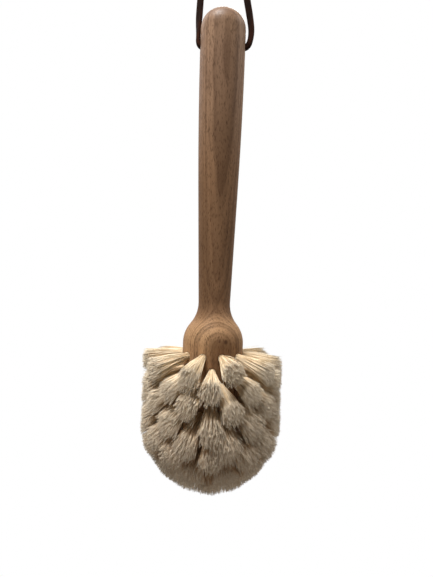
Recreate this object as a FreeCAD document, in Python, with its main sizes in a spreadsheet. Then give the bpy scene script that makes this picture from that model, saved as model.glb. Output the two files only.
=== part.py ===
import FreeCAD, Part
import math
import os
import Sketcher

# A dish brush that hangs by a leather thong: a turned beech handle whose lower end is a
# bullet-shaped core, rings of bristle tufts set in blind holes of that core, a metal anchor
# in the fold of each tuft, and a thong through a cross bore, knotted into a loop.
# The origin is the point inside the loop where a hook bears, +Z is up along the handle's
# axis and X runs along the cross bore. Millimetres and degrees.

SIZES = {
    # From the hook down to the top of the handle
    "hang_height": 64.0,
    # Turned handle: crown, grip, neck and bulb, with drops measured from its top
    "crown_radius": 16.0,
    "grip_radius": 11.7,
    "shoulder_share": 0.855,
    "grip_bend_drop": 90.0,
    "neck_radius": 8.14,
    "neck_hollow_radius": 16.0,
    "bulb_radius": 15.5,
    "bulb_drop": 171.5,
    # Core that holds the bristles: a round end of this radius, this far below the bulb's middle
    "core_radius": 15.2,
    "core_length": 40.1,
    # Cross bore for the thong, flared at both mouths
    "bore_drop": 19.0,
    "bore_fit": 0.1,
    "bore_rounding": 2.0,
    # Bristle head: the tips lie on a bullet round the core
    "head_radius": 36.0,
    "hole_radius": 2.1,
    "hole_depth": 6.3,
    "hole_overrun": 4.0,
    "tuft_fit": 0.05,
    "tuft_collar": 1.4,
    "tuft_dome": 2.2,
    # Rings of tufts on the straight side of the core, placed by shares of its length
    "first_ring_share": 0.15,
    "ring_pitch_share": 0.1745,
    "ring_spread_share": 0.78,
    "ring_tilt": 12.0,
    "ring_tilt_step": 3.4,
    "ring_count": 10,
    # Ring at the edge of the round end
    "low_angle": 28.0,
    "low_tilt": 45.0,
    "low_count": 10,
    "low_spread": 7.5,
    # Ring close to the tip
    "end_angle": 58.0,
    "end_tilt": 66.0,
    "end_count": 6,
    "end_spread": 7.2,
    # Single tuft on the axis
    "tip_spread": 7.9,
    # Metal anchors, each in the fold of its tuft
    "anchor_width": 4.0,
    "anchor_height": 1.8,
    "anchor_thickness": 0.5,
    "anchor_fit": 0.03,
    "fold_thickness": 0.8,
    # Leather thong
    "thong_radius": 1.55,
    "thong_bore_half": 6.6,
    "leg_gap": 0.1,
    "knot_rim": 0.85,
    "knot_core_radius": 3.25,
    "knot_turn_radius": 3.5,
    "knot_turn_pitch": 3.5,
    "knot_turn_tilt": 11.0,
}

# Counted rings on the side of the core, and how many of them end on its straight wall
SIDE_RINGS = 6
WALL_RINGS = 5

# Halvings that find the slope of the grip's taper
TAPER_STEPS = 50

# Share of the shorter run that each bend of the thong takes
BEND_SHARE = 0.45

# Routes of the thong in millimetres from the middle of the bore, X along it and Z up. They
# start beside the handle's skin, and end as a pair in the knot
SKIN = SIZES["grip_radius"]
PAIR = SIZES["thong_radius"] + SIZES["leg_gap"]
RIGHT_ROUTE = [(SKIN + 2.2, 0.0, 0.0), (SKIN + 2.6, -0.2, 7.5), (SKIN + 1.9, -0.6, 15.0),
               (11.0, -1.0, 26.0), (7.9, -1.1, 46.0), (5.2, -0.7, 66.0), (4.2, -0.2, 79.5),
               (PAIR, 0.0, 86.2), (PAIR, 0.0, 90.2)]
LEFT_ROUTE = [(-SKIN - 1.8, 0.0, 0.0), (-SKIN - 2.0, 0.3, 7.2), (-SKIN - 1.8, 0.9, 17.0),
              (-13.0, 1.3, 31.0), (-11.6, 1.2, 48.0), (-7.9, 0.8, 66.0), (-4.4, 0.2, 79.0),
              (-PAIR, 0.0, 86.2), (-PAIR, 0.0, 90.2)]
# Routes of the two tails in millimetres from the top of the knot
RIGHT_TAIL = [(PAIR, 0.0, 0.0), (PAIR, 0.0, 4.2), (3.4, 0.9, 8.6), (6.4, 1.6, 12.2)]
LEFT_TAIL = [(-PAIR, 0.0, 0.0), (-PAIR, 0.0, 4.0), (-2.9, -1.1, 8.2), (-5.2, -2.2, 11.8)]

FULL_TURN = 360.0
HALF_TURN = 180.0
QUARTER_TURN = 90.0
NODES = []

document = FreeCAD.newDocument("dish_brush")
sheet = document.addObject("Spreadsheet::Sheet", "Sizes")
for row, (alias, number) in enumerate(SIZES.items(), start=1):
    sheet.set(f"A{row}", alias)
    sheet.set(f"B{row}", str(number))
    sheet.setAlias(f"B{row}", alias)
document.recompute()


def size(expression):
    """Value of an expression written in the sheet's aliases."""
    return float(sheet.evalExpression(expression))


def origin_feature(body, role):
    """Plane or axis of a body's own origin."""
    for feature in body.Origin.OriginFeatures:
        if feature.Role == role:
            return feature
    raise ValueError(role)


def new_body(label):
    """Body of the brush, in a frame whose origin is the top of the handle."""
    body = document.addObject("PartDesign::Body", label)
    body.Label = label
    body.setExpression(".Placement.Base.z", "-Sizes.hang_height")
    NODES.append(body)
    return body


def fix_point(sketch, geometry, point, axis, expression):
    """Hold one coordinate of a sketch point at the value of an expression."""
    value = size(expression)
    if value == 0:
        own_axis = -2 if axis == "X" else -1
        sketch.addConstraint(Sketcher.Constraint("PointOnObject", geometry, point, own_axis))
        return
    ends = (-1, 1, geometry, point)
    if value < 0:
        ends = (geometry, point, -1, 1)
        expression = f"-({expression})"
    index = sketch.addConstraint(Sketcher.Constraint("Distance" + axis, *ends, abs(value)))
    sketch.setExpression(f"Constraints[{index}]", expression)


def fix_radius(sketch, geometry, expression):
    """Bind the radius of an arc to an expression."""
    index = sketch.addConstraint(Sketcher.Constraint("Radius", geometry, size(expression)))
    sketch.setExpression(f"Constraints[{index}]", expression)


def point_at(across, along):
    """Point of a sketch."""
    return FreeCAD.Vector(across, along, 0)


def add_line(sketch, start, end):
    """Straight edge of a sketch."""
    return sketch.addGeometry(Part.LineSegment(point_at(*start), point_at(*end)), False)


def add_arc(sketch, centre, start, end):
    """Arc of a sketch that runs anticlockwise from one point to another."""
    radius = math.dist(centre, start)
    first = math.atan2(start[1] - centre[1], start[0] - centre[0])
    last = math.atan2(end[1] - centre[1], end[0] - centre[0])
    circle = Part.Circle(point_at(*centre), FreeCAD.Vector(0, 0, 1), radius)
    return sketch.addGeometry(Part.ArcOfCircle(circle, first, last), False)


def join(sketch, chain, closed=True):
    """Join each edge of a chain to the next, end to start."""
    following_edges = chain[1:] + chain[:1] if closed else chain[1:]
    for edge, following in zip(chain, following_edges):
        sketch.addConstraint(Sketcher.Constraint("Coincident", edge, 2, following, 1))


def outline(sketch, corners):
    """Closed polygon whose corners are pairs of expressions."""
    points = [(size(across), size(along)) for across, along in corners]
    edges = [add_line(sketch, start, end) for start, end in zip(points, points[1:] + points[:1])]
    join(sketch, edges)
    for edge, (across, along) in zip(edges, corners):
        fix_point(sketch, edge, 1, "X", across)
        fix_point(sketch, edge, 1, "Y", along)


# Rings of tufts

CORE_DROP = "(Sizes.bulb_drop + Sizes.core_length)"
RING_PITCH = "(Sizes.core_length * Sizes.ring_pitch_share)"


def side_ring(index):
    """Ring on the straight side of the core, counted from the top."""
    tilt = f"(Sizes.ring_tilt + {index} * Sizes.ring_tilt_step)"
    first = "Sizes.core_length * Sizes.first_ring_share"
    ring = {"name": f"ring_{index + 1}", "turned": index % 2 == 1, "count": "Sizes.ring_count",
            "across": "Sizes.core_radius", "drop": f"(Sizes.bulb_drop + {first} + {index} * {RING_PITCH})",
            "tilt": tilt, "spread": f"({RING_PITCH} * Sizes.ring_spread_share)"}
    wall_length = f"(Sizes.head_radius - Sizes.core_radius) / cos({tilt})"
    ring["length"] = wall_length if index < WALL_RINGS else length_to_round(ring)
    return ring


def end_ring(name, turned, prefix):
    """Ring on the round end of the core."""
    angle = f"Sizes.{prefix}_angle"
    ring = {"name": name, "turned": turned, "count": f"Sizes.{prefix}_count",
            "across": f"(Sizes.core_radius * cos({angle}))",
            "drop": f"({CORE_DROP} + Sizes.core_radius * sin({angle}))",
            "tilt": f"Sizes.{prefix}_tilt", "spread": f"Sizes.{prefix}_spread"}
    ring["length"] = length_to_round(ring)
    return ring


def length_to_round(ring):
    """Length from a hole's mouth to the round end of the bristle head."""
    across = ring["across"]
    below = f"({ring['drop']} - {CORE_DROP})"
    lead = f"({across} * cos({ring['tilt']}) + {below} * sin({ring['tilt']}))"
    return f"(sqrt({lead}^2 - {across}^2 - {below}^2 + Sizes.head_radius^2) - {lead})"


TIP = {"name": "tip", "turned": False, "count": None, "across": "0", "tilt": str(QUARTER_TURN),
       "drop": f"({CORE_DROP} + Sizes.core_radius)", "spread": "Sizes.tip_spread",
       "length": "(Sizes.head_radius - Sizes.core_radius)"}
RINGS = [side_ring(index) for index in range(SIDE_RINGS)]
RINGS.append(end_ring("ring_7", False, "low"))
RINGS.append(end_ring("ring_8", True, "end"))
RINGS.append(TIP)


def start_plane(body, ring, purpose):
    """Plane through the axis that holds the ring's first tuft, half a pitch on where rings alternate."""
    upright = origin_feature(body, "XZ_Plane")
    if not ring["turned"]:
        return upright
    plane = body.newObject("PartDesign::Plane", f"{purpose}_plane_{ring['name']}")
    plane.AttachmentSupport = [(upright, "")]
    plane.MapMode = "FlatFace"
    half_pitch = f"{HALF_TURN} / {ring['count']}"
    turn = FreeCAD.Rotation(FreeCAD.Vector(0, 1, 0), size(half_pitch))
    plane.AttachmentOffset = FreeCAD.Placement(FreeCAD.Vector(), turn)
    plane.setExpression(".AttachmentOffset.Rotation.Angle", half_pitch)
    document.recompute()
    return plane


def hole_sketch(body, ring, purpose):
    """Sketch at the mouth of the ring's first hole, with its vertical axis out along the hole."""
    sketch = body.newObject("Sketcher::SketchObject", f"{purpose}_sketch_{ring['name']}")
    sketch.AttachmentSupport = [(start_plane(body, ring, purpose), "")]
    sketch.MapMode = "FlatFace"
    sketch.setExpression(".AttachmentOffset.Base.x", ring["across"])
    sketch.setExpression(".AttachmentOffset.Base.y", f"-{ring['drop']}")
    sketch.setExpression(".AttachmentOffset.Rotation.Angle", f"{HALF_TURN + QUARTER_TURN} - {ring['tilt']}")
    document.recompute()
    return sketch


def repeat(body, ring, features, purpose):
    """Repeat features round the axis as often as the ring says."""
    if ring["count"] is None:
        return
    document.recompute()
    pattern = body.newObject("PartDesign::PolarPattern", f"{purpose}_round_{ring['name']}")
    pattern.Originals = features
    pattern.Axis = (origin_feature(body, "Z_Axis"), [""])
    pattern.Angle = FULL_TURN
    pattern.setExpression("Occurrences", ring["count"])
    body.Tip = pattern
    document.recompute()


# Turned handle

SHOULDER = "(Sizes.grip_radius * Sizes.shoulder_share)"
BORE = "(Sizes.thong_radius + Sizes.bore_fit)"


def taper_angle(shoulder_height, neck_centre):
    """Slope of the lower grip, a line that touches the grip's arc and the hollow of the neck."""
    low = 0.0
    high = math.radians(QUARTER_TURN / 2)
    bend_height = -size("Sizes.grip_bend_drop")
    for _ in range(TAPER_STEPS):
        angle = (low + high) / 2
        bow = (shoulder_height - bend_height) * math.tan(angle / 2)
        across = neck_centre[0] - size("Sizes.grip_radius") + bow
        along = neck_centre[1] - bend_height
        gap = across * math.cos(angle) - along * math.sin(angle) - size("Sizes.neck_hollow_radius")
        low, high = (angle, high) if gap < 0 else (low, angle)
    return low


def along_to(centre, target, distance):
    """Point at a distance from a centre, towards a target."""
    share = distance / math.dist(centre, target)
    return (centre[0] + (target[0] - centre[0]) * share, centre[1] + (target[1] - centre[1]) * share)


def handle_profile(sketch):
    """Half outline of the handle from its crown to the end of its core, as lines and tangent arcs."""
    grip = size("Sizes.grip_radius")
    crown = size("Sizes.crown_radius")
    shoulder = size(SHOULDER)
    hollow = size("Sizes.neck_hollow_radius")
    bulb = size("Sizes.bulb_radius")
    core = size("Sizes.core_radius")
    crown_centre = (0.0, -crown)
    shoulder_rise = math.sqrt((crown - shoulder) ** 2 - (grip - shoulder) ** 2)
    shoulder_centre = (grip - shoulder, shoulder_rise - crown)
    bulb_centre = (0.0, -size("Sizes.bulb_drop"))
    core_centre = (0.0, -size(CORE_DROP))
    neck_across = size("Sizes.neck_radius") + hollow
    neck_rise = math.sqrt((bulb + hollow) ** 2 - neck_across ** 2)
    neck_centre = (neck_across, bulb_centre[1] + neck_rise)
    taper = taper_angle(shoulder_centre[1], neck_centre)
    bend_height = -size("Sizes.grip_bend_drop")
    grip_arc = (shoulder_centre[1] - bend_height) / math.sin(taper)
    grip_centre = (grip - grip_arc, shoulder_centre[1])
    slope = math.asin((bulb - core) / (bulb_centre[1] - core_centre[1]))
    top = (0.0, 0.0)
    crown_end = along_to(crown_centre, shoulder_centre, crown)
    grip_top = (grip, shoulder_centre[1])
    grip_end = (grip_centre[0] + grip_arc * math.cos(taper), bend_height)
    neck_start = (neck_centre[0] - hollow * math.cos(taper), neck_centre[1] + hollow * math.sin(taper))
    neck_end = along_to(bulb_centre, neck_centre, bulb)
    bulb_end = (bulb * math.cos(slope), bulb_centre[1] - bulb * math.sin(slope))
    core_end = (core * math.cos(slope), core_centre[1] - core * math.sin(slope))
    bottom = (0.0, core_centre[1] - core)

    axis_line = add_line(sketch, bottom, top)
    crown_arc = add_arc(sketch, crown_centre, crown_end, top)
    shoulder_arc = add_arc(sketch, shoulder_centre, grip_top, crown_end)
    grip_bow = add_arc(sketch, grip_centre, grip_end, grip_top)
    grip_taper = add_line(sketch, grip_end, neck_start)
    neck_arc = add_arc(sketch, neck_centre, neck_start, neck_end)
    bulb_arc = add_arc(sketch, bulb_centre, bulb_end, neck_end)
    core_wall = add_line(sketch, bulb_end, core_end)
    core_round = add_arc(sketch, core_centre, bottom, core_end)

    # Each edge runs into the next without a corner
    tangents = [(crown_arc, 1, shoulder_arc, 2), (shoulder_arc, 1, grip_bow, 2),
                (grip_bow, 1, grip_taper, 1), (grip_taper, 2, neck_arc, 1),
                (neck_arc, 2, bulb_arc, 2), (bulb_arc, 1, core_wall, 1), (core_wall, 2, core_round, 2)]
    for pair in tangents:
        sketch.addConstraint(Sketcher.Constraint("Tangent", *pair))
    sketch.addConstraint(Sketcher.Constraint("Coincident", axis_line, 2, -1, 1))
    sketch.addConstraint(Sketcher.Constraint("Coincident", crown_arc, 2, axis_line, 2))
    sketch.addConstraint(Sketcher.Constraint("Coincident", core_round, 1, axis_line, 1))
    sketch.addConstraint(Sketcher.Constraint("PointOnObject", axis_line, 1, -2))
    sketch.addConstraint(Sketcher.Constraint("Horizontal", shoulder_arc, 3, shoulder_arc, 1))
    for arc in (crown_arc, bulb_arc, core_round):
        sketch.addConstraint(Sketcher.Constraint("PointOnObject", arc, 3, -2))
    for arc, radius in ((crown_arc, "Sizes.crown_radius"), (shoulder_arc, SHOULDER),
                        (neck_arc, "Sizes.neck_hollow_radius"), (bulb_arc, "Sizes.bulb_radius"),
                        (core_round, "Sizes.core_radius")):
        fix_radius(sketch, arc, radius)
    fix_point(sketch, grip_bow, 2, "X", "Sizes.grip_radius")
    fix_point(sketch, grip_bow, 1, "Y", "-Sizes.grip_bend_drop")
    fix_point(sketch, neck_arc, 3, "X", "Sizes.neck_radius + Sizes.neck_hollow_radius")
    fix_point(sketch, bulb_arc, 3, "Y", "-Sizes.bulb_drop")
    fix_point(sketch, core_round, 3, "Y", f"-{CORE_DROP}")


def make_handle():
    """Handle, turned in one piece with the core, then bored across and drilled for the tufts."""
    body = new_body("handle")
    profile = body.newObject("Sketcher::SketchObject", "handle_profile")
    profile.AttachmentSupport = [(origin_feature(body, "XZ_Plane"), "")]
    profile.MapMode = "FlatFace"
    handle_profile(profile)
    document.recompute()
    turned = body.newObject("PartDesign::Revolution", "turned_wood")
    turned.Profile = profile
    turned.ReferenceAxis = (profile, ["V_Axis"])
    turned.Angle = FULL_TURN
    document.recompute()
    make_bore(body)
    for ring in RINGS:
        sketch = hole_sketch(body, ring, "hole")
        outline(sketch, [("0", "-Sizes.hole_depth"), ("Sizes.hole_radius", "-Sizes.hole_depth"),
                         ("Sizes.hole_radius", "Sizes.hole_overrun"), ("0", "Sizes.hole_overrun")])
        document.recompute()
        before = body.Shape.Volume
        groove = body.newObject("PartDesign::Groove", f"hole_{ring['name']}")
        groove.Profile = sketch
        groove.ReferenceAxis = (sketch, ["V_Axis"])
        groove.Angle = FULL_TURN
        body.Tip = groove
        repeat(body, ring, [groove], "hole")
        document.recompute()
        print(f"holes of {ring['name']} took {before - body.Shape.Volume:.1f} mm3")
    return body


def bore_profile(sketch):
    """Half outline of the cross bore along its axis, with an arc at each mouth."""
    bore = size(BORE)
    rounding = size("Sizes.bore_rounding")
    mouth = bore + rounding
    skin = size("Sizes.grip_radius")
    straight = skin - rounding
    reach = skin + size("Sizes.hole_overrun")
    axis_line = add_line(sketch, (-reach, 0), (reach, 0))
    right_end = add_line(sketch, (reach, 0), (reach, mouth))
    right_rim = add_line(sketch, (reach, mouth), (skin, mouth))
    right_flare = add_arc(sketch, (straight, mouth), (straight, bore), (skin, mouth))
    wall = add_line(sketch, (straight, bore), (-straight, bore))
    left_flare = add_arc(sketch, (-straight, mouth), (-skin, mouth), (-straight, bore))
    left_rim = add_line(sketch, (-skin, mouth), (-reach, mouth))
    left_end = add_line(sketch, (-reach, mouth), (-reach, 0))
    join(sketch, [left_rim, left_end, axis_line, right_end, right_rim], closed=False)
    sketch.addConstraint(Sketcher.Constraint("Coincident", right_rim, 2, right_flare, 2))
    sketch.addConstraint(Sketcher.Constraint("Coincident", left_flare, 1, left_rim, 1))
    sketch.addConstraint(Sketcher.Constraint("Tangent", right_flare, 1, wall, 1))
    sketch.addConstraint(Sketcher.Constraint("Tangent", wall, 2, left_flare, 2))
    for edge in (right_rim, left_rim):
        sketch.addConstraint(Sketcher.Constraint("Horizontal", edge))
    for edge in (right_end, left_end):
        sketch.addConstraint(Sketcher.Constraint("Vertical", edge))
    fix_point(sketch, axis_line, 1, "Y", "0")
    fix_point(sketch, axis_line, 2, "Y", "0")
    fix_point(sketch, axis_line, 1, "X", "-Sizes.grip_radius - Sizes.hole_overrun")
    fix_point(sketch, axis_line, 2, "X", "Sizes.grip_radius + Sizes.hole_overrun")
    for flare, rim, rim_point, side in ((right_flare, right_rim, 2, ""), (left_flare, left_rim, 1, "-")):
        fix_radius(sketch, flare, "Sizes.bore_rounding")
        fix_point(sketch, flare, 3, "X", f"{side}(Sizes.grip_radius - Sizes.bore_rounding)")
        fix_point(sketch, flare, 3, "Y", f"{BORE} + Sizes.bore_rounding")
        fix_point(sketch, rim, rim_point, "Y", f"{BORE} + Sizes.bore_rounding")


def make_bore(body):
    """Cross bore for the thong."""
    sketch = body.newObject("Sketcher::SketchObject", "bore_sketch")
    sketch.AttachmentSupport = [(origin_feature(body, "XZ_Plane"), "")]
    sketch.MapMode = "FlatFace"
    sketch.setExpression(".AttachmentOffset.Base.y", "-Sizes.bore_drop")
    document.recompute()
    bore_profile(sketch)
    document.recompute()
    before = body.Shape.Volume
    bore = body.newObject("PartDesign::Groove", "cross_bore")
    bore.Profile = sketch
    bore.ReferenceAxis = (sketch, ["H_Axis"])
    bore.Angle = FULL_TURN
    body.Tip = bore
    document.recompute()
    print(f"cross bore took {before - body.Shape.Volume:.1f} mm3")


# Bristle tufts and their anchors

ROOT = "(Sizes.hole_radius - Sizes.tuft_fit)"
ANCHOR_LOW = "(Sizes.fold_thickness - Sizes.hole_depth)"
ANCHOR_HIGH = "(Sizes.fold_thickness + Sizes.anchor_height - Sizes.hole_depth)"


def tuft_profile(sketch, ring):
    """Half outline of a tuft: a straight root out of its hole, a flare and a domed end."""
    rim = f"({ring['length']} - Sizes.tuft_dome)"
    floor = -size("Sizes.hole_depth")
    root = size(ROOT)
    collar = size("Sizes.tuft_collar")
    spread = size(ring["spread"])
    rim_height = size(rim)
    top = size(ring["length"])
    dome = top - rim_height
    dome_radius = (spread ** 2 + dome ** 2) / (2 * dome)
    base = add_line(sketch, (0, floor), (root, floor))
    wall = add_line(sketch, (root, floor), (root, collar))
    flare = add_line(sketch, (root, collar), (spread, rim_height))
    end = add_arc(sketch, (0, top - dome_radius), (spread, rim_height), (0, top))
    axis_line = add_line(sketch, (0, top), (0, floor))
    join(sketch, [base, wall, flare, end, axis_line])
    sketch.addConstraint(Sketcher.Constraint("Horizontal", base))
    sketch.addConstraint(Sketcher.Constraint("Vertical", wall))
    sketch.addConstraint(Sketcher.Constraint("PointOnObject", axis_line, 1, -2))
    sketch.addConstraint(Sketcher.Constraint("PointOnObject", axis_line, 2, -2))
    sketch.addConstraint(Sketcher.Constraint("PointOnObject", end, 3, -2))
    fix_point(sketch, wall, 2, "Y", "Sizes.tuft_collar")
    fix_point(sketch, base, 2, "X", ROOT)
    fix_point(sketch, base, 1, "Y", "-Sizes.hole_depth")
    fix_point(sketch, flare, 2, "X", ring["spread"])
    fix_point(sketch, flare, 2, "Y", rim)
    fix_point(sketch, axis_line, 1, "Y", ring["length"])


def strip_outline(sketch, half_width, low, high):
    """Upright rectangle centred on the hole's axis."""
    corners = [(f"-{half_width}", low), (half_width, low), (half_width, high), (f"-{half_width}", high)]
    outline(sketch, corners)


def make_tufts(ring, label):
    """Tufts of one ring, each with a slot for the anchor in its fold."""
    body = new_body(label)
    sketch = hole_sketch(body, ring, "tuft")
    tuft_profile(sketch, ring)
    document.recompute()
    tuft = body.newObject("PartDesign::Revolution", f"tuft_{ring['name']}")
    tuft.Profile = sketch
    tuft.ReferenceAxis = (sketch, ["V_Axis"])
    tuft.Angle = FULL_TURN
    document.recompute()
    slot_sketch = hole_sketch(body, ring, "slot")
    strip_outline(slot_sketch, "Sizes.hole_radius", f"({ANCHOR_LOW} - Sizes.anchor_fit)",
                  f"({ANCHOR_HIGH} + Sizes.anchor_fit)")
    slot = body.newObject("PartDesign::Pocket", f"slot_{ring['name']}")
    slot.Profile = slot_sketch
    slot.SideType = "Symmetric"
    slot.setExpression("Length", "Sizes.anchor_thickness + 2 * Sizes.anchor_fit")
    body.Tip = slot
    repeat(body, ring, [tuft, slot], "tuft")


def make_anchors(ring, label):
    """Flat metal anchors of one ring."""
    body = new_body(label)
    sketch = hole_sketch(body, ring, "anchor")
    strip_outline(sketch, "(Sizes.anchor_width / 2)", ANCHOR_LOW, ANCHOR_HIGH)
    anchor = body.newObject("PartDesign::Pad", f"anchor_{ring['name']}")
    anchor.Profile = sketch
    anchor.SideType = "Symmetric"
    anchor.setExpression("Length", "Sizes.anchor_thickness")
    body.Tip = anchor
    repeat(body, ring, [anchor], "anchor")


# Leather thong

def bend(before, corner, after):
    """Arc that rounds one corner of the thong's route, as its start, middle, end and radius."""
    arriving = corner - before
    leaving = after - corner
    reach = BEND_SHARE * min(arriving.Length, leaving.Length)
    half_turn = arriving.getAngle(leaving) / 2
    arriving.normalize()
    leaving.normalize()
    inward = leaving - arriving
    inward.normalize()
    radius = reach / math.tan(half_turn)
    centre = corner + inward * (radius / math.cos(half_turn))
    return corner - arriving * reach, centre - inward * radius, corner + leaving * reach, radius


def thong_tube(label, route, base):
    """Tube along straight runs joined by tangent arcs, placed at a point above or below the hook."""
    points = [FreeCAD.Vector(*point) for point in route]
    edges = []
    radii = []
    place = points[0]
    for before, corner, after in zip(points, points[1:], points[2:]):
        start, middle, end, radius = bend(before, corner, after)
        edges.append(Part.LineSegment(place, start).toShape())
        edges.append(Part.Arc(start, middle, end).toShape())
        radii.append(radius)
        place = end
    edges.append(Part.LineSegment(place, points[-1]).toShape())
    path = Part.Wire(edges)
    radius = size("Sizes.thong_radius")
    section = Part.Wire(Part.Circle(points[0], points[1] - points[0], radius).toShape())
    tube = document.addObject("Part::Feature", label)
    tube.Label = label
    tube.Shape = path.makePipeShell([section], True, False)
    tube.Placement.Base = FreeCAD.Vector(0, 0, base)
    expected = math.pi * radius ** 2 * path.Length
    print(f"{label}: length {path.Length:.1f} mm, volume {tube.Shape.Volume:.1f} of {expected:.1f} mm3,",
          "radii", ", ".join(f"{value:.1f}" for value in radii))
    NODES.append(tube)


def make_bore_stretch():
    """Straight stretch of the thong inside the cross bore."""
    stretch = document.addObject("Part::Cylinder", "thong_in_bore")
    stretch.Label = "thong_in_bore"
    stretch.setExpression("Radius", "Sizes.thong_radius")
    stretch.setExpression("Height", "2 * Sizes.thong_bore_half")
    stretch.Placement.Rotation = FreeCAD.Rotation(FreeCAD.Vector(0, 1, 0), QUARTER_TURN)
    stretch.setExpression(".Placement.Base.x", "-Sizes.thong_bore_half")
    stretch.setExpression(".Placement.Base.z", "-Sizes.hang_height - Sizes.bore_drop")
    NODES.append(stretch)


# The knot sits where both legs end, and its rims clear its two turns
KNOT_BASE = f"({RIGHT_ROUTE[-1][2]} - Sizes.hang_height - Sizes.bore_drop)"
KNOT_TURN_LOW = "(Sizes.thong_radius + Sizes.knot_rim)"
KNOT_HEIGHT = f"(2 * {KNOT_TURN_LOW} + Sizes.knot_turn_pitch)"


def make_knot():
    """Overhand knot: two slanting turns round the pair of legs."""
    heart = document.addObject("Part::Cylinder", "knot_heart")
    heart.setExpression("Radius", "Sizes.knot_core_radius")
    heart.setExpression("Height", KNOT_HEIGHT)
    turns = []
    for index, lean in enumerate((1, -1)):
        turn = document.addObject("Part::Torus", f"knot_turn_{index + 1}")
        turn.setExpression("Radius1", "Sizes.knot_turn_radius")
        turn.setExpression("Radius2", "Sizes.thong_radius")
        tilt = FreeCAD.Rotation(FreeCAD.Vector(0, lean, 0), size("Sizes.knot_turn_tilt"))
        turn.Placement.Rotation = tilt
        turn.setExpression(".Placement.Rotation.Angle", "Sizes.knot_turn_tilt")
        turn.setExpression(".Placement.Base.z", f"{KNOT_TURN_LOW} + {index} * Sizes.knot_turn_pitch")
        turns.append(turn)
    knot = document.addObject("Part::MultiFuse", "thong_knot")
    knot.Label = "thong_knot"
    knot.Shapes = [heart] + turns
    knot.setExpression(".Placement.Base.z", KNOT_BASE)
    NODES.append(knot)


def make_thong():
    """The thong: its stretch in the bore, two legs, the knot and two tails."""
    bore_height = size("-Sizes.hang_height - Sizes.bore_drop")
    half = size("Sizes.thong_bore_half")
    make_bore_stretch()
    thong_tube("thong_left_leg", [(-half, 0.0, 0.0)] + LEFT_ROUTE, bore_height)
    thong_tube("thong_right_leg", [(half, 0.0, 0.0)] + RIGHT_ROUTE, bore_height)
    make_knot()
    knot_top = size(f"{KNOT_BASE} + {KNOT_HEIGHT}")
    thong_tube("thong_left_tail", LEFT_TAIL, knot_top)
    thong_tube("thong_right_tail", RIGHT_TAIL, knot_top)


make_handle()
for tuft_ring in RINGS:
    make_tufts(tuft_ring, "tuft_tip" if tuft_ring is TIP else f"tufts_{tuft_ring['name']}")
for tuft_ring in RINGS:
    make_anchors(tuft_ring, "anchor_tip" if tuft_ring is TIP else f"anchors_{tuft_ring['name']}")
make_thong()
document.recompute()

# Nothing is written unless every object is sound
for item in document.Objects:
    if "Invalid" in item.State or "Error" in item.State:
        raise RuntimeError(f"{item.Label} is in state {item.State}")
for node in NODES:
    if node.Shape.isNull() or not node.Shape.isValid() or not node.Shape.Solids:
        raise RuntimeError(f"{node.Label} has no valid solid")

os.makedirs("parts", exist_ok=True)
for node in NODES:
    node.Shape.exportStep(f"parts/{node.Label}.step")
    print(f"{node.Label}: {len(node.Shape.Solids)} solids, {node.Shape.Volume:.0f} mm3")
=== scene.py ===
"""Looks of a dish brush that hangs by a leather thong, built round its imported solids.

The turned handle and the hidden anchors keep their solids. Bundles of single fibres stand for
the bristle tufts, and a smooth lace with a tied knot stands for the thong. Metres throughout.
"""
import math

import bmesh
import bpy
import numpy as np
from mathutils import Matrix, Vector


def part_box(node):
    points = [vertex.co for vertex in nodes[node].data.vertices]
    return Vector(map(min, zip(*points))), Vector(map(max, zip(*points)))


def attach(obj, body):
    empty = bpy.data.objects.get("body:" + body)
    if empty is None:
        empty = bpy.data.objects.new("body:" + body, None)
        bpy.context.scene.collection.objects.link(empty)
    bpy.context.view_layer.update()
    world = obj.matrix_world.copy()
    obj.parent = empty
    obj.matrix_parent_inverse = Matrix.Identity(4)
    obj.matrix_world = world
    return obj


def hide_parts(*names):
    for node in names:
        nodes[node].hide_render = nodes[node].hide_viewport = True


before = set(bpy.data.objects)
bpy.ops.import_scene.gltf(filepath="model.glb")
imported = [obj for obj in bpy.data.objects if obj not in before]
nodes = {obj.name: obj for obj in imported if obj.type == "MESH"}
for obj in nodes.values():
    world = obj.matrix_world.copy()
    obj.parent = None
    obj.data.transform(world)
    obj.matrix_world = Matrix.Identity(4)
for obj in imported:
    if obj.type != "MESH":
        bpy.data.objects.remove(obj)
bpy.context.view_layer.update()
scene = bpy.context.scene

# Sizes of the solids: the hook is the origin and the handle's axis is Z
BORE_HEIGHT = -0.083
BULB_HEIGHT = -0.2355
CORE_HEIGHT = -0.2756
CORE_LENGTH = BULB_HEIGHT - CORE_HEIGHT
CORE_RADIUS = 0.0152
HEAD_RADIUS = 0.036

# The photograph's view
CAMERA_PLACE = (0.0009, -0.248, -0.2075)
CAMERA_ROLL = math.radians(1.9)
CLIP_START = 0.01
FOCAL_PIXELS = 480.0
IMAGE_HEIGHT = 577.0
SENSOR = 36.0


# Shader nodes

def colour(red, green, blue):
    """Linear colour from the usual 0 to 255 numbers."""
    shares = [value / 255 for value in (red, green, blue)]
    return [s / 12.92 if s <= 0.04045 else ((s + 0.055) / 1.055) ** 2.4 for s in shares] + [1.0]


def add_node(tree, kind, inputs=None, **settings):
    """Node with its settings, and its inputs as values or as sockets that feed them."""
    node = tree.nodes.new(kind)
    for name, value in settings.items():
        setattr(node, name, value)
    for key, value in (inputs or {}).items():
        if isinstance(value, bpy.types.NodeSocket):
            tree.links.new(value, node.inputs[key])
        else:
            node.inputs[key].default_value = value
    return node


def calculate(tree, operation, *values, clamp=False):
    """Result of one Math node."""
    inputs = dict(enumerate(values))
    return add_node(tree, "ShaderNodeMath", inputs, operation=operation, use_clamp=clamp).outputs[0]


def product(tree, first, second):
    """Product of two values."""
    return calculate(tree, "MULTIPLY", first, second)


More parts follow.
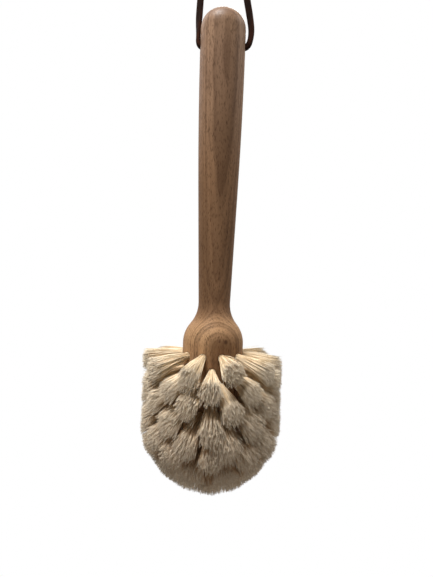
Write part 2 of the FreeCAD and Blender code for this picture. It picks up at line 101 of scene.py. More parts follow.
def fade(tree, value, start, end, low=0.0, high=1.0):
    """Value that goes smoothly from low to high as another goes from start to end."""
    inputs = {"Value": value, "From Min": start, "From Max": end, "To Min": low, "To Max": high}
    return add_node(tree, "ShaderNodeMapRange", inputs, interpolation_type="SMOOTHSTEP").outputs[0]


def mix(tree, factor, first, second):
    """Mix of two colours."""
    inputs = {0: factor, 6: first, 7: second}
    return add_node(tree, "ShaderNodeMix", inputs, data_type="RGBA").outputs[2]


def vector_math(tree, operation, *vectors):
    """Vector Math node."""
    return add_node(tree, "ShaderNodeVectorMath", dict(enumerate(vectors)), operation=operation)


def scaled(tree, vector, scale):
    """Coordinates multiplied along each axis."""
    return vector_math(tree, "MULTIPLY", vector, scale).outputs[0]


def noise(tree, vector, scale, detail=2.0, roughness=0.5):
    """Noise between 0 and 1."""
    inputs = {"Vector": vector, "Scale": scale, "Detail": detail, "Roughness": roughness}
    return add_node(tree, "ShaderNodeTexNoise", inputs).outputs[0]


def distance_from(tree, vector, centre, radii):
    """Distance from a point, in units of the radii of an ellipsoid round it."""
    moved = vector_math(tree, "SUBTRACT", vector, centre).outputs[0]
    unit = scaled(tree, moved, [1 / radius for radius in radii])
    return vector_math(tree, "LENGTH", unit).outputs["Value"]


def attribute(tree, name):
    """Value that a mesh holds for each vertex."""
    return add_node(tree, "ShaderNodeAttribute", attribute_name=name).outputs["Fac"]


def bump(tree, height, strength, distance):
    """Normal from a height."""
    inputs = {"Height": height, "Strength": strength, "Distance": distance}
    return add_node(tree, "ShaderNodeBump", inputs).outputs[0]


def new_material(name, **values):
    """Material with one Principled shader, and the values that are the same all over it."""
    material = bpy.data.materials.new(name)
    material.use_nodes = True
    tree = material.node_tree
    shader = tree.nodes["Principled BSDF"]
    for key, value in values.items():
        shader.inputs[key.replace("_", " ")].default_value = value
    place = add_node(tree, "ShaderNodeTexCoord").outputs["Object"]
    return material, tree, shader, place


def feed(tree, shader, **sockets):
    """Link sockets to the inputs of a shader."""
    for key, socket in sockets.items():
        tree.links.new(socket, shader.inputs[key.replace("_", " ")])


# Wood

# Heights between which the handle's looks change, from the bulb up to the crown; the pale bulb is partly
# painted light, the grey top painted light and the dark crown painted shade
PALE_AND_LIT_CHANGE = (-0.229, -0.217)
LINE_CHANGE = (-0.224, -0.210)
RING_CHANGE = (-0.220, -0.198)
LIT_GREY_CHANGE = (-0.160, -0.080)
CROWN_SHADE_CHANGE = (-0.077, -0.0655)
POLISH_CHANGE = (-0.077, -0.067)

# Light and dark tones of the held grip, its grey top, lighter as painted light, and the pale bulb,
# partly painted light, and what lies over them
HELD = (colour(141, 106, 77), colour(112, 83, 59))
LIT_GREY = (colour(179, 144, 115), colour(147, 115, 92))
PALE_AND_LIT = (colour(190, 150, 110), colour(157, 119, 84))
DARK_RING = colour(98, 72, 52)
WOOD_FIBRE = colour(110, 83, 60)
# Darker heartwood on the bulb, partly painted shade on its right side
HEARTWOOD_AND_SHADE = colour(100, 70, 46)
RING_LINE = colour(78, 53, 37)
FLECK = colour(62, 41, 27)
# Painted shade on the crown's top
CROWN_SHADE = colour(92, 62, 42)
MARK = colour(50, 31, 20)

# Growth rings: turn of their sheets, depth of the first, pitch, unevenness and strength of lines
RING_TURN = math.radians(10.4)
RING_START = {"bulb": 0.0081, "grip": 0.0065}
RING_PITCH = {"bulb": 0.00115, "grip": 0.00165}
WIDE_WARP = 0.0014
FINE_WARP = 0.0005
LINE_STRENGTH = {"bulb": 0.55, "grip": 0.5}
# Shares of a ring at which its line is darkest and ends, and from which its tone blends to the next
LINE_PEAK = 0.1
LINE_END = 0.8
TONE_BLEND = 0.55
# Number of a ring whose line hardly shows, and how much weaker it is
FAINT_RING = 4.0
FAINTNESS = 0.85

# Flecks: width, length and share of the cells that hold one
LARGE_FLECKS = (0.00052, 0.0034, 0.8)
SMALL_FLECKS = (0.00036, 0.0019, 0.9)
SMALL_STRENGTH = 0.8
FLECK_STRENGTH = 0.8

# Spots: centre, radii, shares of the radii between which they fade, and strength
SPOTS = {
    "knot": ((0.0063, -0.0140, -0.2335), (0.0013, 0.0030, 0.0015), 0.3, 1.2, 0.75),
    "dash": ((0.0034, -0.0151, -0.2330), (0.0004, 0.0020, 0.0014), 0.3, 1.0, 0.7),
    # Darker heartwood, partly painted shade on the bulb's front right
    "heart": ((0.0075, -0.0140, -0.2400), (0.0130, 0.0150, 0.0165), 0.35, 1.2, 0.58),
    "bore": ((0.0, 0.0, BORE_HEIGHT), (1.0, 0.0042, 0.0042), 0.7, 1.35, 0.45),
}

# Gloss of the wood and of its polished crown, and how much smoother the crown is
WOOD_SHINE = 0.05
CROWN_SHINE = 0.3
CROWN_SMOOTHNESS = 0.14


def ring_tone(tree, number):
    """Tone of a growth ring, by its number."""
    return add_node(tree, "ShaderNodeTexWhiteNoise", {"W": number}, noise_dimensions="1D").outputs[0]


def ring_turns(tree, place, axes, patches):
    """Number of growth rings, which are nearly flat sheets, from the first one to each point."""
    across = product(tree, axes["X"], math.sin(RING_TURN))
    inward = product(tree, axes["Y"], -math.cos(RING_TURN))
    depth = calculate(tree, "ADD", across, inward)
    fine = noise(tree, scaled(tree, place, (1.0, 1.0, 0.2)), 260.0)
    for uneven, size in ((patches, WIDE_WARP), (fine, FINE_WARP)):
        shift = product(tree, calculate(tree, "SUBTRACT", uneven, 0.5), size)
        depth = calculate(tree, "ADD", depth, shift)
    start = fade(tree, axes["Z"], *RING_CHANGE, RING_START["bulb"], RING_START["grip"])
    pitch = fade(tree, axes["Z"], *RING_CHANGE, RING_PITCH["bulb"], RING_PITCH["grip"])
    return calculate(tree, "DIVIDE", calculate(tree, "SUBTRACT", depth, start), pitch)


def ring_pattern(tree, place, axes, patches):
    """Lines and tones of the growth rings, which the taper cuts in points and the bulb in arcs."""
    turns = ring_turns(tree, place, axes, patches)
    phase = calculate(tree, "FRACT", turns)
    number = calculate(tree, "FLOOR", turns)
    own = ring_tone(tree, number)
    following = ring_tone(tree, calculate(tree, "ADD", number, 1.0))
    tones = fade(tree, phase, TONE_BLEND, 1.0, own, following)

    rise = fade(tree, phase, 0.0, LINE_PEAK)
    fall = fade(tree, phase, LINE_PEAK, LINE_END, 1.0, 0.0)
    grain = noise(tree, scaled(tree, place, (1.0, 1.0, 0.25)), 330.0, 3.0)
    line = product(tree, product(tree, rise, fall), fade(tree, grain, 0.3, 0.65, 0.3))
    faint = product(tree, calculate(tree, "COMPARE", number, FAINT_RING, 0.5), FAINTNESS)
    strength = fade(tree, own, 0.0, 1.0, 0.65, 1.0)
    strength = calculate(tree, "SUBTRACT", strength, faint, clamp=True)
    return product(tree, line, strength), tones


def flecks(tree, place, width, length, share):
    """Short dark dashes along the grain, where rays end on the surface."""
    stretched = scaled(tree, place, (1 / width, 1 / width, 1 / length))
    cells = add_node(tree, "ShaderNodeTexVoronoi", {"Vector": stretched, "Scale": 1.0})
    near = fade(tree, cells.outputs["Distance"], 0.2, 0.45, 1.0, 0.0)
    strength = add_node(tree, "ShaderNodeSeparateColor", {0: cells.outputs["Color"]}).outputs[0]
    return product(tree, near, fade(tree, strength, 1 - share, 1.0))


def spot(tree, place, name):
    """Strength of a spot, which is full in its middle and fades out round it."""
    centre, radii, start, end, strength = SPOTS[name]
    return fade(tree, distance_from(tree, place, centre, radii), start, end, strength, 0.0)


def make_wood():
    """Oiled beech: growth rings, dark flecks, fine fibres, and a small knot in the bulb; the grip's top
    carries painted light, the crown painted shade, and the bulb partly painted light and shade.
    """
    material, tree, shader, place = new_material("beech")
    axes = add_node(tree, "ShaderNodeSeparateXYZ", {0: place}).outputs
    height = axes["Z"]
    patches = noise(tree, scaled(tree, place, (1.0, 1.0, 0.3)), 55.0)
    rings, tones = ring_pattern(tree, place, axes, patches)
    strength = fade(tree, height, *LINE_CHANGE, LINE_STRENGTH["bulb"], LINE_STRENGTH["grip"])
    lines = product(tree, rings, strength)
    large = flecks(tree, place, *LARGE_FLECKS)
    small = product(tree, flecks(tree, place, *SMALL_FLECKS), SMALL_STRENGTH)
    dashes = calculate(tree, "MAXIMUM", large, small)
    fibres = noise(tree, scaled(tree, place, (2300.0, 2300.0, 150.0)), 1.0, 3.0, 0.6)

    # The knot with a dash beside it, and grime round the bore
    marks = calculate(tree, "MAXIMUM", spot(tree, place, "knot"), spot(tree, place, "dash"))
    marks = calculate(tree, "MAXIMUM", marks, spot(tree, place, "bore"))

    # The grip keeps its own darker tone, its top is greyer and lighter as painted light, and the bulb is
    # paler, partly painted light
    blotch = fade(tree, patches, 0.3, 0.7)
    held = mix(tree, blotch, *HELD)
    # Painted light: the top of the grip is lighter and greyer
    tone = mix(tree, fade(tree, height, *LIT_GREY_CHANGE), held, mix(tree, blotch, *LIT_GREY))
    # The bulb is paler wood, partly painted light
    tone = mix(tree, fade(tree, height, *PALE_AND_LIT_CHANGE, 1.0, 0.0), tone, mix(tree, blotch, *PALE_AND_LIT))
    tone = mix(tree, fade(tree, tones, 0.3, 1.0, 0.0, 0.42), tone, DARK_RING)
    tone = mix(tree, fade(tree, fibres, 0.25, 0.75, 0.0, 0.4), tone, WOOD_FIBRE)
    # Darker heartwood, partly painted shade on the bulb's right side
    tone = mix(tree, spot(tree, place, "heart"), tone, HEARTWOOD_AND_SHADE)
    tone = mix(tree, lines, tone, RING_LINE)
    tone = mix(tree, product(tree, dashes, FLECK_STRENGTH), tone, FLECK)
    # Painted shade darkens the crown's top
    tone = mix(tree, fade(tree, height, *CROWN_SHADE_CHANGE, 0.0, 0.6), tone, CROWN_SHADE)
    tone = mix(tree, marks, tone, MARK)

    shine = fade(tree, height, *POLISH_CHANGE, WOOD_SHINE, CROWN_SHINE)
    polish = fade(tree, height, *POLISH_CHANGE, 0.0, CROWN_SMOOTHNESS)
    rough = calculate(tree, "SUBTRACT", fade(tree, fibres, 0.2, 0.8, 0.44, 0.62), polish)
    normal = bump(tree, calculate(tree, "SUBTRACT", fibres, dashes), 0.3, 0.0001)
    feed(tree, shader, Base_Color=tone, Roughness=rough, Specular_IOR_Level=shine, Normal=normal)
    return material


# Other materials

# Bristle: cream hairs and a few brown ones; their roots browner, partly painted shade; painted shade on
# the lower bristles; and their tips paler, partly painted light
CREAM = (colour(237, 211, 170), colour(250, 234, 206))
BROWN_HAIR = colour(176, 136, 96)
ROOT_AND_SHADE = colour(213, 184, 143)
LOW_SHADE = colour(217, 183, 145)
TIP_AND_LIGHT = colour(252, 238, 216)
# Heights between which the painted shade of the lower bristles fades out
LOW_SHADE_CHANGE = (-0.295, -0.245)

# Leather, its worn and cut edges, redder partly as painted highlight, and its creases
LEATHER = (colour(31, 19, 15), colour(43, 27, 21))
EDGE_AND_HIGHLIGHT = colour(74, 45, 33)
CREASE = colour(20, 12, 10)

# Dull and bright streaks of the anchors' strip
STRIP = (colour(150, 150, 152), colour(196, 196, 198))


def make_bristle():
    """Cream natural fibre, each hair its own tint: browner at the roots, partly painted shade, with
    painted shade on the lower bristles, and paler towards the cut tips, partly painted light.
    """
    material, tree, shader, place = new_material("bristle_fibre", Roughness=0.55, Specular_IOR_Level=0.3)
    height = add_node(tree, "ShaderNodeSeparateXYZ", {0: place}).outputs["Z"]
    tint = attribute(tree, "tint")
    along = attribute(tree, "along")
    tone = mix(tree, fade(tree, tint, 0.1, 0.9), *CREAM)
    tone = mix(tree, fade(tree, tint, 0.0, 0.14, 0.8, 0.0), tone, BROWN_HAIR)
    # Browner roots, partly painted shade deep in the tufts
    tone = mix(tree, fade(tree, along, 0.0, 0.6, 0.6, 0.0), tone, ROOT_AND_SHADE)
    # Painted shade: the lower bristles are browner
    tone = mix(tree, fade(tree, height, *LOW_SHADE_CHANGE, 0.75, 0.0), tone, LOW_SHADE)
    # Paler cut tips, partly painted light
    tone = mix(tree, fade(tree, along, 0.8, 1.0, 0.0, 0.6), tone, TIP_AND_LIGHT)
    feed(tree, shader, Base_Color=tone)
    return material


def make_leather():
    """Dark brown lace leather, redder on its worn and cut edges, partly as a painted highlight."""
    material, tree, shader, place = new_material("lace_leather", Specular_IOR_Level=0.02)
    blotches = noise(tree, place, 320.0, 3.0)
    cells = {"Vector": place, "Scale": 3600.0}
    grain = add_node(tree, "ShaderNodeTexVoronoi", cells, feature="DISTANCE_TO_EDGE")
    creases = fade(tree, grain.outputs["Distance"], 0.0, 0.22)
    # Redder worn and cut edges, partly a painted highlight on the lace's narrow sides
    worn = product(tree, attribute(tree, "edge"), fade(tree, blotches, 0.2, 0.6, 0.35, 0.9))
    tone = mix(tree, fade(tree, blotches, 0.3, 0.7), *LEATHER)
    tone = mix(tree, worn, tone, EDGE_AND_HIGHLIGHT)
    tone = mix(tree, fade(tree, creases, 0.0, 1.0, 0.4, 0.0), tone, CREASE)
    rough = fade(tree, blotches, 0.3, 0.7, 0.55, 0.75)
    feed(tree, shader, Base_Color=tone, Roughness=rough, Normal=bump(tree, creases, 0.35, 0.00008))
    return material


def make_steel():
    """Bright drawn wire strip of the anchors."""
    material, tree, shader, place = new_material("anchor_strip", Metallic=1.0)
    streaks = noise(tree, scaled(tree, place, (3000.0, 3000.0, 400.0)), 1.0, 3.0)
    rough = fade(tree, streaks, 0.2, 0.8, 0.25, 0.45)
    feed(tree, shader, Base_Color=mix(tree, streaks, *STRIP), Roughness=rough)
    return material


def dress(node, material):
    """Give every face of a solid one material."""
    solid = nodes[node]
    if not solid.material_slots:
        solid.data.materials.append(material)
    for slot in solid.material_slots:
        slot.material = material


# Meshes

def link_object(name, mesh, material):
    """Smooth object of one material in the scene."""
    mesh.shade_smooth()
    mesh.materials.append(material)
    piece = bpy.data.objects.new(name, mesh)
    scene.collection.objects.link(piece)
    return piece


def add_values(mesh, name, values):
    """One number for each vertex, for a material to read."""
    layer = mesh.attributes.new(name, "FLOAT", "POINT")
    layer.data.foreach_set("value", np.asarray(values, np.float32).ravel())


def quarter_round(share):
    """Height of a quarter circle, from 0 at its foot to 1 at its top and past it."""
    return np.sqrt(1 - (1 - np.clip(share, 0, 1)) ** 2)


def smooth_step(value, start, end):
    """0 before start, 1 after end and smooth between."""
    share = np.clip((value - start) / (end - start), 0, 1)
    return share * share * (3 - 2 * share)


# Thong

# Lace with a flat oval section; its diameter is that of the round solid
THONG_DIAMETER = 0.0031
THONG_WIDTH = 0.0036
THONG_THICKNESS = 0.0023
SECTION_POINTS = 24
SECTION_POWER = 0.62
UNEVEN_POINTS = 9
UNEVEN_RANGE = (0.95, 1.0)
# Its ends are rounded over a share of the thickness, from a share of the full size
END_ROUNDING = 0.2
END_SIZE = 0.82
EDGE_POWER = 4

# Routes of the solids in millimetres: legs from the middle of the bore, tails from the knot's top,
# and the distance from the axis at which the two legs run side by side through the knot
MM = 0.001
PAIR = 1.65
RIGHT_ROUTE = [(0.0, 0.0, 0.0), (6.6, 0.0, 0.0), (13.1, 0.0, 0.0), (14.8, -0.2, 7.5),
               (13.7, -0.6, 15.0), (11.4, -1.0, 26.0), (7.9, -1.1, 46.0), (5.2, -0.7, 66.0),
               (4.2, -0.2, 79.5), (PAIR, 0.0, 86.2), (PAIR, 0.0, 90.2)]
LEFT_ROUTE = [(0.0, 0.0, 0.0), (-6.6, 0.0, 0.0), (-12.8, 0.0, 0.0), (-12.9, 0.3, 7.2),
              (-12.7, 0.9, 17.0), (-12.1, 1.3, 31.0), (-10.8, 1.2, 48.0), (-7.9, 0.8, 66.0),
              (-4.4, 0.2, 79.0), (-PAIR, 0.0, 86.2), (-PAIR, 0.0, 90.2)]
RIGHT_TAIL = [(PAIR, 0.0, 0.0), (PAIR, 0.0, 4.2), (3.4, 0.9, 8.6), (6.4, 1.6, 12.2)]
LEFT_TAIL = [(-PAIR, 0.0, 0.0), (-PAIR, 0.0, 4.0), (-2.9, -1.1, 8.2), (-5.2, -2.2, 11.8)]
LINE_STEPS = 12

# Side, its direction along X, routes of its leg and tail, and their seeds
THONG_SIDES = (
    ("left", -1.0, LEFT_ROUTE, LEFT_TAIL, 21, 31),
    ("right", 1.0, RIGHT_ROUTE, RIGHT_TAIL, 22, 32),
)

# Lengths over which a leg turns from round in the bore to flat, narrows to the knot, and twists
LEG_FLAT = {"left": (0.008, 0.016), "right": (0.017, 0.032)}
LEG_NARROW = (0.0, 0.016)
LEG_TWIST = (0.014, 0.033)
LEG_TURN = math.radians(75)
TAIL_TURN = 0.5

# Knot: its wrap of lace, which starts and ends tucked in, and the two straight legs inside
KNOT_TURNS = 2.35
KNOT_STEPS = 90
KNOT_START = -0.6
KNOT_RADIUS = 0.0034
KNOT_OVAL = (1.06, 0.94)
KNOT_MARGIN = 0.52
KNOT_WAVE = 0.0004
KNOT_WAVE_START = 0.8
KNOT_SEED = 31
TUCK_SHARE = 0.16
TUCK_RADIUS = 0.42
PAIR_STEPS = 12
PAIR_SEED = 32


def smooth_line(name, route, base):
    """Points along the smooth line that a route in millimetres steers, above a height."""
    curve = bpy.data.curves.new(name, "CURVE")
    curve.dimensions = "3D"
    curve.resolution_u = LINE_STEPS
    spline = curve.splines.new("NURBS")
    spline.points.add(len(route) - 1)
    for point, place in zip(spline.points, route):
        point.co = (place[0] * MM, place[1] * MM, place[2] * MM + base, 1.0)
    spline.order_u = 3
    spline.use_endpoint_u = True
    holder = bpy.data.objects.new(name, curve)
    mesh = bpy.data.meshes.new_from_object(holder)
    line = np.array([vertex.co[:] for vertex in mesh.vertices])
    bpy.data.objects.remove(holder)
    bpy.data.curves.remove(curve)
    bpy.data.meshes.remove(mesh)
    return line


def length_along(line):
    """Distance of each point of a line from its start."""
    return np.concatenate([[0.0], np.cumsum(np.linalg.norm(np.diff(line, axis=0), axis=1))])


def frames_along(line, first_side):
    """Direction, side and face at each point of a line, carried along it without twist."""
    ahead = np.gradient(line, axis=0)
    ahead /= np.linalg.norm(ahead, axis=1, keepdims=True)
    sides = []
    side = np.array(first_side, float)
    for direction in ahead:
        side = side - direction * (side @ direction)
        side /= np.linalg.norm(side)
        sides.append(side)
    sides = np.array(sides)
    return ahead, sides, np.cross(ahead, sides)


def lace_faces(count):
    """Faces of a lace with a count of sections: its walls, and a fan of triangles at each end."""
    corner = np.arange(SECTION_POINTS)
    following = (corner + 1) % SECTION_POINTS
    wall = np.stack([corner, following, following + SECTION_POINTS, corner + SECTION_POINTS], 1)
    faces = [face.tolist() for ring in range(count - 1) for face in wall + ring * SECTION_POINTS]
    last = (count - 1) * SECTION_POINTS
    first_middle = count * SECTION_POINTS
    for start, end in zip(corner.tolist(), following.tolist()):
        faces.append([end, start, first_middle])
    for start, end in zip(corner.tolist(), following.tolist()):
        faces.append([last + start, last + end, first_middle + 1])
    return faces


def lace(name, line, first_side, seed, material, width, thickness, turn):
    """Closed strip of leather along a line, with its width, thickness and turn at each point of it."""
    rng = np.random.default_rng(seed)
    count = len(line)
    length = length_along(line)
    knots = np.linspace(0, length[-1], UNEVEN_POINTS)
    uneven = np.interp(length, knots, rng.uniform(*UNEVEN_RANGE, UNEVEN_POINTS))
    ends = np.minimum(length, length[-1] - length) / (THONG_THICKNESS * END_ROUNDING)
    size = uneven * (END_SIZE + (1 - END_SIZE) * quarter_round(ends))

    ahead, sides, faces_out = frames_along(line, first_side)
    turned = np.cos(turn)[:, None] * sides + np.sin(turn)[:, None] * faces_out
    upright = np.cross(ahead, turned)
    angles = np.linspace(0, 2 * np.pi, SECTION_POINTS, endpoint=False)
    flat = np.sign(np.cos(angles)) * np.abs(np.cos(angles)) ** SECTION_POWER / 2
    thick = np.sign(np.sin(angles)) * np.abs(np.sin(angles)) ** SECTION_POWER / 2
    across = (size * width)[:, None, None] * flat[None, :, None] * turned[:, None]
    through = (size * thickness)[:, None, None] * thick[None, :, None] * upright[:, None]
    rings = line[:, None] + across + through
    places = np.concatenate([rings.reshape(-1, 3), line[:1], line[-1:]])

    mesh = bpy.data.meshes.new(name)
    mesh.from_pydata(places.tolist(), [], lace_faces(count))
    edge = np.tile(np.abs(np.cos(angles)) ** EDGE_POWER, count)
    add_values(mesh, "edge", np.concatenate([edge, [1.0, 1.0]]))
    return link_object(name, mesh, material)


def even_lace(name, line, first_side, seed, material, turn=0.0):
    """Lace of one width and thickness, which turns evenly along its line."""
    same = np.ones(len(line))
    turns = turn * np.linspace(0, 1, len(line))
    width = same * THONG_DIAMETER
    thickness = same * THONG_THICKNESS
    return lace(name, line, first_side, seed, material, width, thickness, turns)


def make_tail(side, route, seed, base, material):
    """One short end above the knot, twisted a little."""
    line = smooth_line(f"{side}_tail_line", route, base)
    tail = even_lace(f"thong_{side}_tail_lace", line, (0.0, 1.0, 0.0), seed, material, TAIL_TURN)
    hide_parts(f"thong_{side}_tail")
    return tail


def make_leg(side, route, seed, material):
    """One leg from the middle of the bore to the knot: round in the bore, flat above it."""
    line = smooth_line(f"{side}_leg_line", route, BORE_HEIGHT)
    length = length_along(line)
    flat = smooth_step(length, *LEG_FLAT[side])
    wide = flat * smooth_step(length[-1] - length, *LEG_NARROW)
    width = THONG_DIAMETER + (THONG_WIDTH - THONG_DIAMETER) * wide
    thickness = THONG_DIAMETER + (THONG_THICKNESS - THONG_DIAMETER) * flat
    turn = LEG_TURN * smooth_step(length, *LEG_TWIST)
    name = f"thong_{side}_leg_lace"
    leg = lace(name, line, (0.0, 1.0, 0.0), seed, material, width, thickness, turn)
    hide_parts(f"thong_{side}_leg", "thong_in_bore")
    return leg, line


def make_knot(material, low, high):
    """Knot: both legs run through its heart, and a wrap goes round them and tucks under itself."""
    middle = (low + high) / 2
    share = np.linspace(0, 1, KNOT_STEPS)
    angle = 2 * np.pi * KNOT_TURNS * share + KNOT_START
    tuck = quarter_round(np.minimum(share, 1 - share) / TUCK_SHARE)
    radius = KNOT_RADIUS * (TUCK_RADIUS + (1 - TUCK_RADIUS) * tuck)
    half_height = (high.z - low.z) / 2 - THONG_DIAMETER * KNOT_MARGIN
    wave = KNOT_WAVE * np.sin(angle + KNOT_WAVE_START)
    line = np.stack([
        middle.x + radius * np.cos(angle) * KNOT_OVAL[0],
        middle.y + radius * np.sin(angle) * KNOT_OVAL[1],
        middle.z + half_height * (2 * share - 1) + wave,
    ], 1)
    wrap = even_lace("thong_knot_wrap", line, (0.0, 0.0, 1.0), KNOT_SEED, material)
    for side, sign, *_ in THONG_SIDES:
        heart = np.zeros((PAIR_STEPS, 3))
        heart[:, 0] = sign * PAIR * MM
        heart[:, 2] = np.linspace(low.z, high.z, PAIR_STEPS)
        core = even_lace(f"thong_knot_heart_{side}", heart, (1.0, 0.0, 0.0), PAIR_SEED, material)
        core.parent = wrap
    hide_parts("thong_knot")
    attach(wrap, "hanging_loop")
    return wrap


def make_thong(material):
    """The thong: two legs out of the bore, the knot that ties them and the two tails."""
    low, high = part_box("thong_knot")
    knot = make_knot(material, low, high)
    for side, sign, route, tail_route, leg_seed, tail_seed in THONG_SIDES:
        tail = make_tail(side, tail_route, tail_seed, high.z, material)
        leg, line = make_leg(side, route, leg_seed, material)
        for piece in (leg, tail):
            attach(piece, "hanging_loop")


# Bristles

# Rings of tufts on the side of the core, with tilts in degrees, and the wear of their front and sides
SIDE_RINGS = 6
SIDE_COUNT = 10
FIRST_RING_SHARE = 0.15
RING_PITCH_SHARE = 0.1745
RING_TILT = 12.0
RING_TILT_STEP = 3.4
FRONT_DROOP = 2.0
SIDE_LIFT = 3.0
# Rings on its round end: node, angle of their place, tilt, count, and turn as a share of a step
END_RINGS = (
    ("tufts_ring_7", 28.0, 45.0, 10, 0.0),
    ("tufts_ring_8", 58.0, 66.0, 6, 0.5),
)
# Radius of a tuft at its tips, from the first ring to the tuft on the axis
TUFT_SPREADS = (0.0051, 0.0050, 0.0050, 0.0052, 0.0054, 0.0058, 0.0066, 0.0075, 0.0080)
TUFT_LENGTH = HEAD_RADIUS - CORE_RADIUS
TUFT_LEAN = 0.05
HEAD_POINT_SHARE = 0.04
FIRST_SEED = 101

# Fibres of one tuft, which gather in strands
FIBRES = 800
STRANDS = 300
FIBRE_SIDES = 3
FIBRE_RADIUS = 0.00012
FIBRE_TAPER = np.array([1.0, 1.0, 1.02, 0.62])
ROOT_RADIUS = 0.0019
ROOT_DEPTH = 0.0012
COLLAR = 0.0008
MIDDLE_SHARE = 0.55
GOLDEN_ANGLE = math.pi * (3 - math.sqrt(5))
# Stations along a fibre, after its root in the hole
MOUTH = 1
MIDDLE = 2
TIP = 3

# How tufts, strands and fibres differ: ranges, deviations, or a mean with its deviation
SPREAD_RANGE = (0.9, 1.1)
STRAND_SHIFT = 0.0003
STRAND_LENGTH = (0.995, 0.02)
LONGEST_STRAND = 1.005
STRAND_TINT = 0.2
FIBRE_TINT = (0.52, 0.14)
FIBRE_WIDTH = (0.8, 1.2)
ROOT_SHIFT = 0.0002
TIP_SHIFT = 0.00016
FLARE_RANGE = (0.1, 0.5)
SPREAD_POWER = 0.8
SWAY = 0.00009
TIP_SWAY = 0.6
# Share of the fibres that stray, and of those that are broken off, with how far they reach
STRAY_SHARE = 0.04
STRAY_RANGE = (1.05, 1.4)
BROKEN_SHARE = 0.05
BROKEN_RANGE = (0.6, 0.92)
# Trim: feathered tips, shorter outer fibres, and the lengths in tufts between which it is looked for
FEATHER_TOP = 1.02
FEATHER = 0.065
FEATHER_MOST = 0.22
OUTER_TRIM = 0.04
TRIM_SHORTEST = 0.3
TRIM_LONGEST = 1.9
HALVINGS = 20
# How far a level tuft's tips hang, and the share of that at its middle
SAG = 0.0012
MIDDLE_SAG = 0.3
# Free rim of a fibre's cell in the texture map
CELL_MARGIN = 0.1


def tuft(azimuth, tilt, across, height):
    """Mouth, outward axis and two sideways axes of one tuft."""
    lean = math.radians(tilt)
    round_axis = np.array([math.cos(azimuth), math.sin(azimuth), 0.0])
    mouth = across * round_axis + np.array([0.0, 0.0, height])
    axis = math.cos(lean) * round_axis - np.array([0.0, 0.0, math.sin(lean)])
    sideways = np.array([-math.sin(azimuth), math.cos(azimuth), 0.0])
    return mouth, axis, sideways, np.cross(axis, sideways)


def ring_of_tufts(count, start, tilt, across, height, worn=0.0):
    """Tufts evenly round the axis; where worn, those in front and behind droop and the rest lift."""
    tufts = []
    for number in range(count):
        azimuth = 2 * math.pi * (number + start) / count
        droop = FRONT_DROOP * math.sin(azimuth) ** 2 - SIDE_LIFT * math.cos(azimuth) ** 2
        tufts.append(tuft(azimuth, tilt + worn * droop, across, height))
    return tufts


def all_tufts():
    """Tufts of each solid that they stand for."""
    rings = {}
    for index in range(SIDE_RINGS):
        share = FIRST_RING_SHARE + index * RING_PITCH_SHARE
        height = BULB_HEIGHT - CORE_LENGTH * share
        tilt = RING_TILT + index * RING_TILT_STEP
        start = 0.5 if index % 2 else 0.0
        tufts = ring_of_tufts(SIDE_COUNT, start, tilt, CORE_RADIUS, height, worn=1.0)
        rings[f"tufts_ring_{index + 1}"] = tufts
    for name, angle, tilt, count, start in END_RINGS:
        lean = math.radians(angle)
        height = CORE_HEIGHT - CORE_RADIUS * math.sin(lean)
        rings[name] = ring_of_tufts(count, start, tilt, CORE_RADIUS * math.cos(lean), height)
    rings["tuft_tip"] = [tuft(0.0, 90.0, 0.0, CORE_HEIGHT - CORE_RADIUS)]
    return rings


def outside_head(places):
    """How far points lie outside the bullet that the tips are trimmed to."""
    below = np.minimum(places[..., 2] - CORE_HEIGHT, 0.0)
    across = np.hypot(places[..., 0], places[..., 1])
    reach = np.hypot(across, below)
    shoulder = (2 * across * below / reach ** 2) ** 2
    return reach - HEAD_RADIUS * (1 - HEAD_POINT_SHARE * shoulder)


def trimmed_lengths(place):
    """Length at which each fibre meets the trimmed outline, found by halving."""
    short = np.full(FIBRES, TRIM_SHORTEST * TUFT_LENGTH)
    long = np.full(FIBRES, TRIM_LONGEST * TUFT_LENGTH)
    for _ in range(HALVINGS):
        middle = (short + long) / 2
        outside = outside_head(place(middle)) > 0
        long = np.where(outside, middle, long)
        short = np.where(outside, short, middle)
    return short


def make_strands(rng):
    """Way outwards, shift, length and tint of each strand of a tuft."""
    order = np.arange(STRANDS)
    reach = np.sqrt((order + 0.5) / STRANDS)
    angle = order * GOLDEN_ANGLE + rng.uniform(0, 2 * np.pi)
    way = np.stack([np.cos(angle), np.sin(angle)], 1) * reach[:, None]
    shift = rng.normal(0, STRAND_SHIFT, (STRANDS, 2))
    length = rng.normal(*STRAND_LENGTH, STRANDS)
    tint = rng.normal(0, STRAND_TINT, STRANDS)
    return way, shift, length, tint


